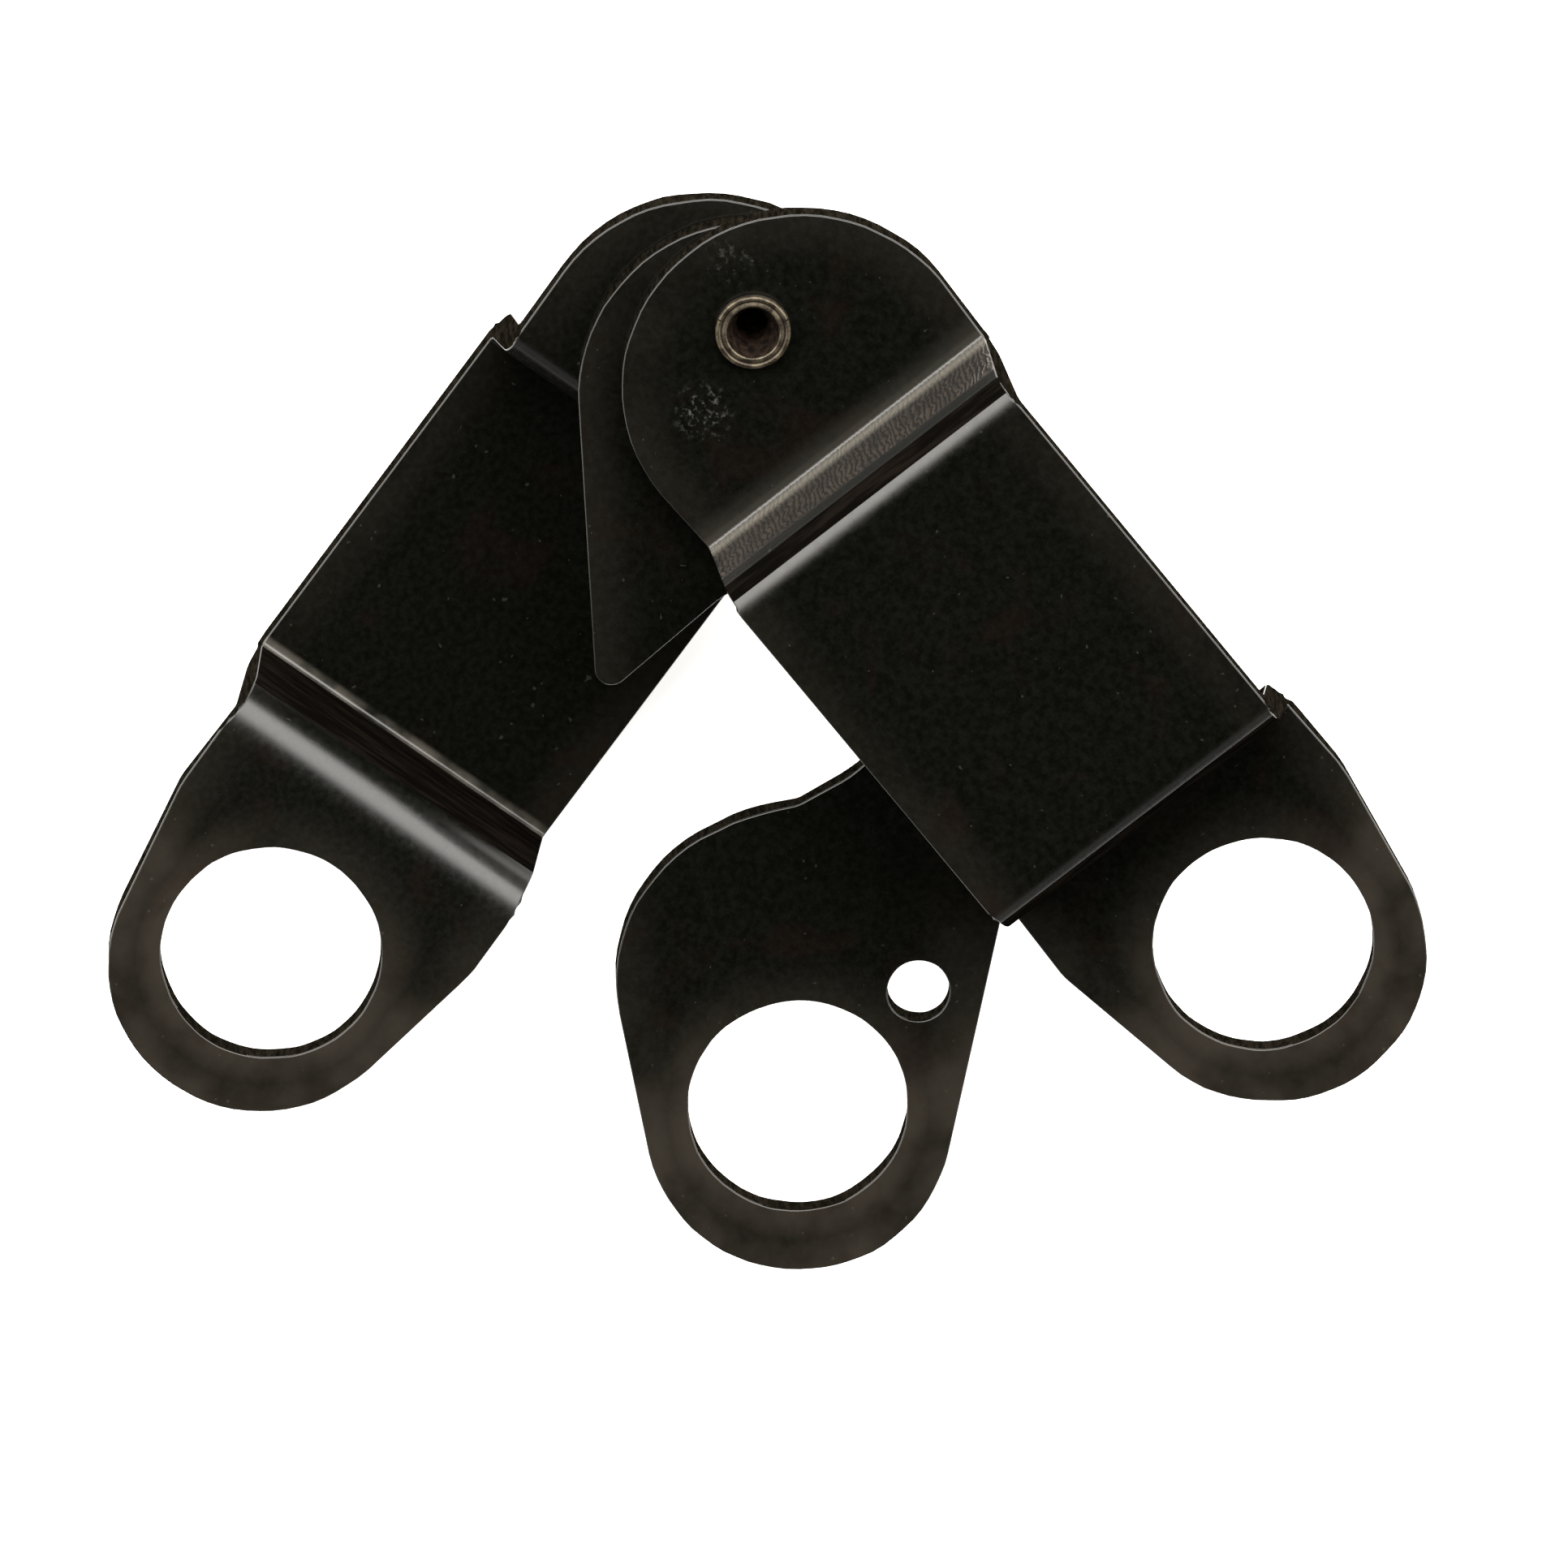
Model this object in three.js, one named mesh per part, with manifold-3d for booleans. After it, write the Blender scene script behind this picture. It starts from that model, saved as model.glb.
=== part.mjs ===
// Casement window stay: three pressed steel levers that swing on one semi-tubular rivet.
// Millimetres, +Z up. The origin is on the rivet's axis, on the flat back of its head.
// Each lever is drawn with its pivot at x = 0 and its eye on +x, then turned to its heading.
import * as THREE from 'three';
import * as BufferGeometryUtils from 'three/addons/utils/BufferGeometryUtils.js';
import Module from 'manifold-3d';

const wasm = await Module();
wasm.setup();

// Sheet and spacing
const sheet = 2.2; // thickness of every lever
const leverGap = 0.2; // running gap between neighbouring levers
const borePlay = 0.2; // radial clearance of a pivot bore on the rivet
const rivetPlay = 0.05; // clearance between the rivet's ends and the stack of levers

// Outline that the levers share
const strapWidth = 25.4;
const headSetback = 5.4; // pivot to the centre of the head's round
const pivotToEye = 59;
const eyeBore = 15.9;

// Front and rear levers: one pressing, used both ways up
const joggleRise = 8.6; // how far the strap stands off the head and the eye
const joggleRun = 4.2; // length of each rise, from bend centre to bend centre
const bendRadius = 0.5; // inside radius of every bend
const headFlat = 10.4; // pivot to the first bend
const eyeFlat = 12.7; // last bend to the eye's centre
const taperToEye = 7.5; // where the eye's sides begin to close in, short of the eye's centre
const taperRound = 9; // radius of the corner there
const eyeInset = 1.6; // outer round of the eye less than the strap's half width
const eyeRoundShift = 1.15; // how far that round's centre lies beyond the bore's

// Hook lever: flat, with a beak and a throat on one side. The sizes from the beak to the belly
// are for a strap of hookStrap and follow its width.
const hookStrap = 25.4;
const beakTip = 1.25;
const beakFacing = 38.4; // direction that the beak's inner side faces, in degrees from the lever
const throatRadius = 8.15;
const wallFacing = -153.6; // direction that the throat's far wall faces
const wallLength = 3.2; // straight part of that wall
const kinkRadius = 2.5; // small hollow between the wall and the shoulder
const kinkToEye = 25.07;
const kinkOffset = 0.5; // its centre off the lever's middle line
const shoulderRadius = 15.5;
const shoulderToEye = 7.06;
const shoulderOffset = 1.67;
const bellyRadius = 12.6;
const bellyToEye = 9.5;
const hipRadius = 9; // the round on the side away from the beak
const hipBulge = 2.9; // how far the hip stands out past the strap's edge
const hipToEye = 15;
const hookEyeInset = 1.65;
const hookEyeShift = 1.45; // how far the outer round's centre lies beyond the bore's
const smallBore = 4.5;
const smallBoreInset = 3.5; // its centre in from the strap's edge
const smallBoreToEye = 8.1;

// Rivet
const shankRadius = 2;
const backHeadOverhang = 2.2; // how far the back head stands out past the shank
const backHeadHeight = 1.3;
const backHeadEdge = 0.5;
const rimOverhang = 0.7; // how far the rolled rim stands out past the shank
const rimHeight = 0.85;
const rimCorner = 0.25; // radius under the rim's outer edge
const mouthWall = 0.45; // tube wall round the hollow end
const mouthDepth = 5.2;

// Headings of the three eyes about +Z, in degrees from +X
const frontHeading = -51.5;
const hookHeading = -86.8;
const rearHeading = -126;

// Facets
const facetTurn = THREE.MathUtils.degToRad(8); // most that an outline turns at one facet
const boreSides = 48;
const rivetSides = 48;
const rimSteps = 5; // along each round of the rivet's profile

const headRadius = strapWidth / 2;
const pivotBore = 2 * (shankRadius + borePlay);
const eyeRound = headRadius - eyeInset;
const hookEyeRound = headRadius - hookEyeInset;

// The outline of a belt drawn tight round a ring of rounds, each [x, y, radius]. A positive
// radius is an outer corner, a negative one a hollow, and zero a sharp corner. The belt runs
// anticlockwise, with the material on its left, and a facing is its outward normal's angle.
function beltOutline(rounds) {
  const facings = rounds.map((from, index) => {
    const to = rounds[(index + 1) % rounds.length];
    const dx = to[0] - from[0];
    const dy = to[1] - from[1];
    const reach = Math.hypot(dx, dy);
    if (Math.abs(to[2] - from[2]) > reach) {
      throw new Error(`rounds ${index} and ${(index + 1) % rounds.length} of an outline overlap`);
    }
    const lean = Math.asin((to[2] - from[2]) / reach);
    return Math.atan2(dy, dx) - Math.PI / 2 - lean;
  });
  const points = [];
  rounds.forEach(([x, y, radius], index) => {
    const arrive = facings[(index + rounds.length - 1) % rounds.length];
    const side = Math.sign(radius);
    const sweep = side * THREE.MathUtils.euclideanModulo(side * (facings[index] - arrive), 2 * Math.PI);
    const steps = Math.ceil(Math.abs(sweep) / facetTurn);
    for (let step = 0; step <= steps; step += 1) {
      const facing = arrive + (steps === 0 ? 0 : (sweep * step) / steps);
      points.push(new THREE.Vector2(x + radius * Math.cos(facing), y + radius * Math.sin(facing)));
    }
  });
  return new THREE.Shape(points);
}

function addBore(shape, x, y, diameter) {
  const bore = new THREE.Path();
  bore.absarc(x, y, diameter / 2, 0, 2 * Math.PI, true);
  shape.holes.push(bore);
}

function extrude(shape, depth) {
  return new THREE.ExtrudeGeometry(shape, { depth, bevelEnabled: false, curveSegments: boreSides / 2 });
}

// A closed geometry as a manifold-3d solid
function solidOf(geometry) {
  const bare = geometry.clone();
  bare.deleteAttribute('normal');
  bare.deleteAttribute('uv');
  const merged = BufferGeometryUtils.mergeVertices(bare, 1e-4);
  return new wasm.Manifold(new wasm.Mesh({
    numProp: 3,
    vertProperties: merged.attributes.position.array,
    triVerts: new Uint32Array(merged.index.array),
  }));
}

function geometryOf(solid) {
  const mesh = solid.getMesh();
  const indexed = new THREE.BufferGeometry();
  indexed.setAttribute('position', new THREE.BufferAttribute(mesh.vertProperties, 3));
  indexed.setIndex(new THREE.BufferAttribute(mesh.triVerts, 1));
  const geometry = indexed.toNonIndexed();
  geometry.computeVertexNormals();
  return geometry;
}

// Side view of a joggled strip: x along the lever, y up, the head's back face on y = 0
function joggledStrip(start, end) {
  const firstRise = headFlat;
  const firstTop = firstRise + joggleRun;
  const lastFall = pivotToEye - eyeFlat;
  const lastTop = lastFall - joggleRun;
  const lowCentre = sheet + bendRadius;
  const highCentre = joggleRise - bendRadius;
  const outer = bendRadius + sheet;
  return beltOutline([
    [start, 0, 0],
    [firstRise, lowCentre, outer],
    [firstTop, highCentre, -bendRadius],
    [lastTop, highCentre, -bendRadius],
    [lastFall, lowCentre, outer],
    [end, 0, 0],
    [end, sheet, 0],
    [lastFall, lowCentre, -bendRadius],
    [lastTop, highCentre, outer],
    [firstTop, highCentre, outer],
    [firstRise, lowCentre, -bendRadius],
    [start, sheet, 0],
  ]);
}

// The front or rear lever, its strap raised towards +Z
function joggledLever() {
  const spare = 1; // how far the two rough bodies stand past the finished one
  const start = headSetback - headRadius - spare;
  const end = pivotToEye + eyeRoundShift + eyeRound + spare;
  const strip = extrude(joggledStrip(start, end), strapWidth + 2 * spare);
  strip.rotateX(Math.PI / 2);
  strip.translate(0, headRadius + spare, 0);

  const taperStart = pivotToEye - taperToEye;
  const cornerSide = headRadius - taperRound;
  const plan = beltOutline([
    [headSetback, 0, headRadius],
    [taperStart, -cornerSide, taperRound],
    [pivotToEye + eyeRoundShift, 0, eyeRound],
    [taperStart, cornerSide, taperRound],
  ]);
  addBore(plan, 0, 0, pivotBore);
  addBore(plan, pivotToEye, 0, eyeBore);
  const block = extrude(plan, joggleRise + sheet + 2 * spare);
  block.translate(0, 0, -spare);
  return geometryOf(solidOf(strip).intersect(solidOf(block)));
}

function hookLever() {
  const scale = strapWidth / hookStrap;
  const tip = beakTip * scale;
  const throat = throatRadius * scale;
  const kink = kinkRadius * scale;
  const kinkX = pivotToEye - kinkToEye * scale;
  const kinkY = kinkOffset * scale;
  const facing = THREE.MathUtils.degToRad(wallFacing);
  const wall = wallLength * scale;
  const throatX = kinkX + (throat - kink) * Math.cos(facing) + wall * Math.sin(facing);
  const throatY = kinkY + (throat - kink) * Math.sin(facing) - wall * Math.cos(facing);
  const inner = THREE.MathUtils.degToRad(beakFacing);
  const tipY = tip - headRadius;
  const tipX = throatX - (throat + tip - Math.sin(inner) * (throatY - tipY)) / Math.cos(inner);
  const plan = beltOutline([
    [headSetback, 0, headRadius],
    [tipX, tipY, tip],
    [throatX, throatY, -throat],
    [kinkX, kinkY, -kink],
    [pivotToEye - shoulderToEye * scale, shoulderOffset * scale, shoulderRadius * scale],
    [pivotToEye - bellyToEye * scale, 0, bellyRadius * scale],
    [pivotToEye + hookEyeShift, 0, hookEyeRound],
    [pivotToEye - hipToEye, headRadius + hipBulge - hipRadius, hipRadius],
  ]);
  addBore(plan, 0, 0, pivotBore);
  addBore(plan, pivotToEye, 0, eyeBore);
  addBore(plan, pivotToEye - smallBoreToEye, headRadius - smallBoreInset, smallBore);
  return extrude(plan, sheet);
}

// A solid head behind, a hollow end rolled out into a rim in front
function pivotRivet(grip) {
  const backHeadRadius = shankRadius + backHeadOverhang;
  const rimRadius = shankRadius + rimOverhang;
  const mouthRadius = shankRadius - mouthWall;
  const seat = backHeadHeight + grip; // underside of the rim
  const crest = seat + rimHeight;
  const floor = crest - mouthDepth;
  const rimMiddle = (rimRadius + mouthRadius) / 2;
  const rimHalf = (rimRadius - mouthRadius) / 2;
  const rimShoulder = seat + rimCorner;
  const half = new THREE.Path();
  half.moveTo(0, 0);
  half.lineTo(backHeadRadius - backHeadEdge, 0);
  half.absarc(backHeadRadius - backHeadEdge, backHeadEdge, backHeadEdge, -Math.PI / 2, 0, false);
  half.lineTo(backHeadRadius, backHeadHeight);
  half.lineTo(shankRadius, backHeadHeight);
  half.lineTo(shankRadius, seat);
  half.lineTo(rimRadius - rimCorner, seat);
  half.absarc(rimRadius - rimCorner, rimShoulder, rimCorner, -Math.PI / 2, 0, false);
  half.absellipse(rimMiddle, rimShoulder, rimHalf, crest - rimShoulder, 0, Math.PI, false, 0);
  half.lineTo(mouthRadius, floor);
  half.lineTo(0, floor);
  const rivet = new THREE.LatheGeometry(half.getPoints(rimSteps), rivetSides);
  rivet.rotateX(Math.PI / 2);
  return rivet;
}

function steel(color, roughness) {
  return new THREE.MeshStandardMaterial({ color, roughness, metalness: 0.9 });
}

function place(name, geometry, material, level, heading) {
  const mesh = new THREE.Mesh(geometry, material);
  mesh.name = name;
  mesh.position.z = level;
  mesh.rotation.z = THREE.MathUtils.degToRad(heading);
  return mesh;
}

const stay = new THREE.Group();
const grip = 3 * sheet + 2 * leverGap + 2 * rivetPlay;
const rearLevel = backHeadHeight + rivetPlay;
const hookLevel = rearLevel + sheet + leverGap;
const frontLevel = hookLevel + sheet + leverGap;

// The rear lever is the front lever's pressing turned over, so its strap stands off backwards.
const rearGeometry = joggledLever();
rearGeometry.rotateX(Math.PI);
rearGeometry.translate(0, 0, sheet);

stay.add(place('front_lever', joggledLever(), steel(0x1d1c18, 0.42), frontLevel, frontHeading));
stay.add(place('hook_lever', hookLever(), steel(0x201e1a, 0.5), hookLevel, hookHeading));
stay.add(place('rear_lever', rearGeometry, steel(0x1e1c19, 0.44), rearLevel, rearHeading));
stay.add(place('pivot_rivet', pivotRivet(grip), steel(0x857b6c, 0.35), 0, 0));

export default stay;
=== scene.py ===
import math
from collections import namedtuple

import bpy
from mathutils import Matrix, Vector


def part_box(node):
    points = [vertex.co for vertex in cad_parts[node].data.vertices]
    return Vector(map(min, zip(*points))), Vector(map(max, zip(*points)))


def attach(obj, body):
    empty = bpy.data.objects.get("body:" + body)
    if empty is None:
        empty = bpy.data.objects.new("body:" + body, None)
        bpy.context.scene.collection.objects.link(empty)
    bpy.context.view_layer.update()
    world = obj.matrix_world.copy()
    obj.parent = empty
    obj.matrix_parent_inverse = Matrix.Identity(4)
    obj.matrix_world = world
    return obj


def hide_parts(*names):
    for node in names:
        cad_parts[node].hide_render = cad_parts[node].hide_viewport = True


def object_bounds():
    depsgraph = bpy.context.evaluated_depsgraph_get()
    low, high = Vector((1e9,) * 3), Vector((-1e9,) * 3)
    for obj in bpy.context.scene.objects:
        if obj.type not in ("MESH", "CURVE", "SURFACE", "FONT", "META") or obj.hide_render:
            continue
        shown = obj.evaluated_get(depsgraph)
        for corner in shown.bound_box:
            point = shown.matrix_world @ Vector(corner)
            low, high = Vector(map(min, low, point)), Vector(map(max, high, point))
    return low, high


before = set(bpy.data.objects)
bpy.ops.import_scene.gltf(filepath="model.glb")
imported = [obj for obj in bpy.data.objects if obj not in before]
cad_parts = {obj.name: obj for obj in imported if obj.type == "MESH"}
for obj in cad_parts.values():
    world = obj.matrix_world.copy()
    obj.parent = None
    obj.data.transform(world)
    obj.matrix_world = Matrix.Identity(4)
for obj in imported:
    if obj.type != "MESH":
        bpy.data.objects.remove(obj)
cad_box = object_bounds()

MM = 0.001

# The stay's sizes, in millimetres: a lever lies along +x with its pivot at x = 0
SHEET = 2.2
LEVER_GAP = 0.2
HALF_WIDTH = 12.7
HEAD_SETBACK = 5.4  # pivot to the centre of the head's round
PIVOT_TO_EYE = 59.0
EYE_BORE_RADIUS = 7.95
PIVOT_BORE_RADIUS = 2.2
SPARE = 1.0  # how far a rough body stands past the finished one
DRILL_PAST = 2.0  # how far a drill runs past each face of the sheet

# Front and rear levers: one pressing
JOGGLE_RISE = 8.6
JOGGLE_RUN = 4.2
BEND_RADIUS = 0.5  # inside radius of every bend
OUTER_BEND = BEND_RADIUS + SHEET
SOFT_BEND = 4.2  # the outer bend before the eye is stretched rounder than the others
HEAD_FLAT = 10.4  # pivot to the first bend
EYE_FLAT = 12.7  # last bend to the eye's centre
LAST_FALL = PIVOT_TO_EYE - EYE_FLAT
LAST_TOP = LAST_FALL - JOGGLE_RUN
STRAP_TOP = JOGGLE_RISE + SHEET
TAPER_START = 51.5
TAPER_ROUND = 9.0
EYE_ROUND = 11.1
EYE_ROUND_SHIFT = 1.15
WALL_DRAW = 0.3  # how far each edge of a steep wall is drawn in by the bending

# Hook lever: the centre and radius of each round of its outline, a hollow's being negative
BEAK_TIP = (25.2, -11.45, 1.25)
THROAT = (27.446, 0.854, -8.15)
KINK = (33.93, 0.5, -2.5)
SHOULDER = (51.94, 1.67, 15.5)
BELLY = (49.5, 0.0, 12.6)
HIP = (44.0, 6.6, 9.0)
HOOK_EYE_ROUND = 11.05
HOOK_EYE_SHIFT = 1.45
SMALL_BORE = (50.9, 9.2, 2.25)

# Edges and faces
EDGE_ROLL = 0.14  # rounding left on every sheared edge
OUTLINE_WANDER = 0.25  # full swing of the sheared outline's unevenness
WANDER_LENGTH = 3.5  # how far apart its swings are
WANDER_STEP = 40.0  # each lever takes its own stretch of the unevenness, this far from the next
ARC_STEP = math.radians(5)  # one facet of a round in the plan
BEND_STEP = math.radians(8)  # one facet of a bend in the side view
BORE_SIDES = 96
WELD = 1e-6  # metres within which two points are one
SHEARED = 0.02  # a face whose normal rises less than this is a sheared side
DRAWN_SHEARED = (0.2, 0.9)  # on a drawn-in wall it may rise this much and must face this far across
# Faces leaning past these tilts get the painted shade: a dark, unreflecting finish
FAR_BEND_TILT = 0.55  # the bend by the eye is dull where it leans further over than this
NEAR_BEND_TILT = 0.6  # the same for the bend by the head
UNDER_WALL_TILT = 0.9  # and for the underside of the wall by the eye
CREST_FOOT = JOGGLE_RISE + 0.15  # the outer bend by the head lies above this
RUBBED_SLOT = 1
SHEARED_SLOT = 2
# painted shade: a dark, unreflecting copy of the steel on faces picked by how far they lean
SHADED_SLOT = 3
MOUTH_SLOT = 1  # on the rivet

# How each lever lies: its heading about +Z, its lower face's level, which side is up, and its
# stretch of the outline's unevenness
Lie = namedtuple("Lie", "heading level turned_over seed")
HOOK_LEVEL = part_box("hook_lever")[0].z / MM
FRONT = Lie(math.radians(-51.5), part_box("hook_lever")[1].z / MM + LEVER_GAP, False, 20)
HOOK = Lie(math.radians(-86.8), HOOK_LEVEL, False, 16)
REAR = Lie(math.radians(-126), HOOK_LEVEL - LEVER_GAP - SHEET, True, 19)
UPRIGHT = Lie(0, 0, False, 0)  # the rivet, as it was drawn

# Rivet, in millimetres
SHANK = 2.0
BACK_HEAD = 4.2
BACK_HEAD_HEIGHT = 1.3
BACK_HEAD_EDGE = 0.5
BACK_HEAD_ROLL = 0.1
RIM_RADIUS = 2.7
RIM_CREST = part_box("pivot_rivet")[1].z / MM
RIM_SEAT = RIM_CREST - 0.85
RIM_CORNER = 0.25
OUTER_ROLL = 0.22  # radius of the rim's outer roll
INNER_ROLL = 0.16  # radius of the lip round the mouth
LIP_DROP = 0.05  # how far the lip lies below the crest
OUTER_ROLL_SWEEP = math.radians(150)
INNER_ROLL_SWEEP = math.radians(70)
GROOVE_RADIUS = 2.3  # fold line between the two
MOUTH_LIP = 1.86  # radius of the mouth where it flares out at the crest
MOUTH_RADIUS = 1.55
MOUTH_FLOOR = RIM_CREST - 5.2
RIVET_SIDES = 128
RIM_SPLITS = ((21, 0.13), (158, 0.16), (262, 0.07))  # direction in degrees and half width
SPLIT_LENGTH = 0.9
SPLIT_TIP = 0.01
SPLIT_PAST = 0.3  # how far a split's wedge stands out past the rim
SPLIT_DROP = 0.1  # and how far its middle lies below the crest
SPLIT_STRETCH = 4  # how much taller than wide a split's wedge is

FLOOR_SIZE = 6
FLOOR_LEVEL = cad_box[0][2]
FLOOR_GAP = 0.00002

# Light
STUDIO_LIGHT = 8.0
FRONT_SHARE = 0.07  # how much of it is left on the far side
LIGHT_EDGE = (0.22, 0.42)  # it fades out between these heights towards the horizon
HORIZON_LIGHT = 0.7
HORIZON_EDGE = (0.34, 0.1)
HOOD_LEAN = math.radians(16)
HOOD_INNER = math.radians(35)  # the hood is dark inside this angle and open past the next
HOOD_OUTER = math.radians(52)
FLOOR_GLOW = 0.85  # the backing paper is lit from below as well, so nothing drops a shadow on it

# Camera
CAMERA_TILT = math.radians(16.928)  # away from the plates' normal, towards +Y
CAMERA_TURN = math.radians(-1.624)
CAMERA_DISTANCE = 1361.5
CAMERA_TARGET = (2.289, -34.572, HOOK_LEVEL + SHEET)
LENS = 434.74
SENSOR = 36
NEAREST = 0.05
FARTHEST = 20


# ---------------------------------------------------------------- camera, floor and light

def make_camera():
    """Looks down on the plates, leaning towards +Y, with a long lens."""
    away = Vector((
        math.sin(CAMERA_TURN) * math.cos(CAMERA_TILT), math.sin(CAMERA_TILT),
        math.cos(CAMERA_TURN) * math.cos(CAMERA_TILT)))
    lens = bpy.data.cameras.new("camera")
    lens.lens = LENS
    lens.sensor_width = SENSOR
    lens.clip_start = NEAREST
    lens.clip_end = FARTHEST
    camera = bpy.data.objects.new("camera", lens)
    bpy.context.scene.collection.objects.link(camera)
    right = Vector((0, 1, 0)).cross(away).normalized()
    up = away.cross(right).normalized()
    stand = Vector(CAMERA_TARGET) * MM + away * CAMERA_DISTANCE * MM
    turn = Matrix((right, up, away)).transposed().to_4x4()
    camera.matrix_world = Matrix.Translation(stand) @ turn
    bpy.context.scene.camera = camera


def linear(code):
    """An sRGB hex colour as linear red, green, blue and alpha."""
    channels = [int(code[i:i + 2], 16) / 255 for i in (1, 3, 5)]
    return tuple(c / 12.92 if c <= 0.04045 else ((c + 0.055) / 1.055) ** 2.4 for c in channels) + (1.0,)


def add(tree, kind, inputs, output=None, **settings):
    """Adds one node with its settings. An input is a socket to link or a value to set. Gives the
    named output, or else the node's first one in use."""
    node = tree.nodes.new("ShaderNode" + kind)
    for name, value in settings.items():
        setattr(node, name, value)
    for name, value in inputs.items():
        if isinstance(value, bpy.types.NodeSocket):
            tree.links.new(value, node.inputs[name])
        else:
            node.inputs[name].default_value = value
    if output:
        return node.outputs[output]
    return next((socket for socket in node.outputs if socket.enabled), None)


SMOOTH = {"interpolation_type": "SMOOTHSTEP"}
COLOURS = {"data_type": "RGBA"}  # a Mix node's factor is its input 0, its two colours 6 and 7


def make_world():
    """A pale studio: a broad soft light above the horizon behind the stay's head, weaker in front, and a
    dark hood overhead, centred on what the flats mirror to the camera."""
    world = bpy.data.worlds.new("studio")
    bpy.context.scene.world = world
    world.use_nodes = True
    tree = world.node_tree
    tree.nodes.clear()
    ray = add(tree, "TexCoord", {}, "Generated")
    axes = add(tree, "SeparateXYZ", {0: ray}).node.outputs
    hood_axis = (0, -math.sin(HOOD_LEAN), math.cos(HOOD_LEAN))
    hood = add(tree, "VectorMath", {0: ray, 1: hood_axis}, operation="DOT_PRODUCT")
    light = add(tree, "MapRange", {
        "Value": axes["Y"], "From Min": -0.5, "From Max": 0.5, "To Min": STUDIO_LIGHT * FRONT_SHARE,
        "To Max": STUDIO_LIGHT}, **SMOOTH)
    light = add(tree, "MapRange", {
        "Value": axes["Z"], "From Min": LIGHT_EDGE[0], "From Max": LIGHT_EDGE[1], "To Max": light}, **SMOOTH)
    light = add(tree, "MapRange", {
        "Value": hood, "From Min": math.cos(HOOD_INNER), "From Max": math.cos(HOOD_OUTER),
        "To Max": light}, **SMOOTH)
    horizon = add(tree, "MapRange", {
        "Value": axes["Z"], "From Min": HORIZON_EDGE[0], "From Max": HORIZON_EDGE[1],
        "To Max": HORIZON_LIGHT}, **SMOOTH)
    light = add(tree, "Math", {0: light, 1: horizon}, operation="MAXIMUM")
    glow = add(tree, "Background", {"Color": (1, 0.985, 0.95, 1), "Strength": light})
    add(tree, "OutputWorld", {"Surface": glow})


def new_material(name):
    material = bpy.data.materials.new(name)
    material.use_nodes = True
    material.node_tree.nodes.clear()
    return material, material.node_tree


def make_floor():
    """Plain pale paper, just under the lowest face of the stay."""
    deselect()
    bpy.ops.mesh.primitive_plane_add(size=FLOOR_SIZE, location=(0, 0, FLOOR_LEVEL - FLOOR_GAP))
    floor = bpy.context.object
    floor.name = "floor"
    paper, tree = new_material("white_backing_paper")
    skin = add(tree, "BsdfPrincipled", {
        "Base Color": linear("#f6f5f2"), "Roughness": 0.9, "Specular IOR Level": 0.1,
        "Emission Color": linear("#fdfcfa"), "Emission Strength": FLOOR_GLOW})
    add(tree, "OutputMaterial", {"Surface": skin})
    floor.data.materials.append(paper)


# ---------------------------------------------------------------- modelling helpers

def deselect():
    if bpy.context.object and bpy.context.object.mode != "OBJECT":
        bpy.ops.object.mode_set(mode="OBJECT")
    bpy.ops.object.select_all(action="DESELECT")


def pick(piece):
    """Makes a piece the only one selected, and the active one."""
    deselect()
    piece.select_set(True)
    bpy.context.view_layer.objects.active = piece


def start_line(name, point):
    """A plane merged to its centre: one vertex in edit mode, from which a line is drawn."""
    deselect()
    bpy.ops.mesh.primitive_plane_add(size=0.001, location=(0, 0, 0))
    piece = bpy.context.object
    piece.name = name
    bpy.ops.object.mode_set(mode="EDIT")
    bpy.ops.mesh.select_all(action="SELECT")
    bpy.ops.mesh.merge(type="CENTER")
    bpy.ops.transform.translate(value=Vector(point) * MM)
    return piece


def draw_to(here, there):
    bpy.ops.mesh.extrude_vertices_move(TRANSFORM_OT_translate={"value": (Vector(there) - Vector(here)) * MM})


def draw_arc(centre, axis, angle, step):
    """Sweeps the last vertex about an axis, leaving the swept end selected. Spin turns clockwise."""
    steps = max(1, math.ceil(abs(angle) / step - 1e-6))
    bpy.ops.mesh.spin(
        steps=steps, angle=-angle, center=Vector(centre) * MM, axis=axis, dupli=False, use_auto_merge=False)


def belt_facings(rounds):
    """The outward normal's angle on each straight of a belt drawn anticlockwise round the rounds."""
    facings = []
    for index, (x, y, radius) in enumerate(rounds):
        to_x, to_y, to_radius = rounds[(index + 1) % len(rounds)]
        reach = math.hypot(to_x - x, to_y - y)
        lean = math.asin((to_radius - radius) / reach)
        facings.append(math.atan2(to_y - y, to_x - x) - math.pi / 2 - lean)
    return facings


def draw_belt(name, rounds, flat_axis, step):
    """Draws a closed belt of straights and arcs and fills it. flat_axis is the axis it faces:
    "z" draws in x and y, and "y" draws a side view in x and z."""
    facings = belt_facings(rounds)

    def place(x, y):
        return Vector((x, y, 0)) if flat_axis == "z" else Vector((x, 0, y))

    axis = (0, 0, 1) if flat_axis == "z" else (0, -1, 0)
    piece = None
    here = None
    for index, (x, y, radius) in enumerate(rounds):
        arrive = facings[index - 1]
        side = 1 if radius > 0 else -1
        sweep = side * ((side * (facings[index] - arrive)) % (2 * math.pi)) if radius else 0
        begin = place(x + radius * math.cos(arrive), y + radius * math.sin(arrive))
        if piece is None:
            piece = start_line(name, begin)
            first = begin
        else:
            draw_to(here, begin)
        if radius:
            draw_arc(place(x, y), axis, sweep, step)
        here = place(x + radius * math.cos(facings[index]), y + radius * math.sin(facings[index]))
    draw_to(here, first)
    bpy.ops.mesh.select_all(action="SELECT")
    bpy.ops.mesh.remove_doubles(threshold=WELD)
    bpy.ops.mesh.edge_face_add()
    return piece


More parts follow.
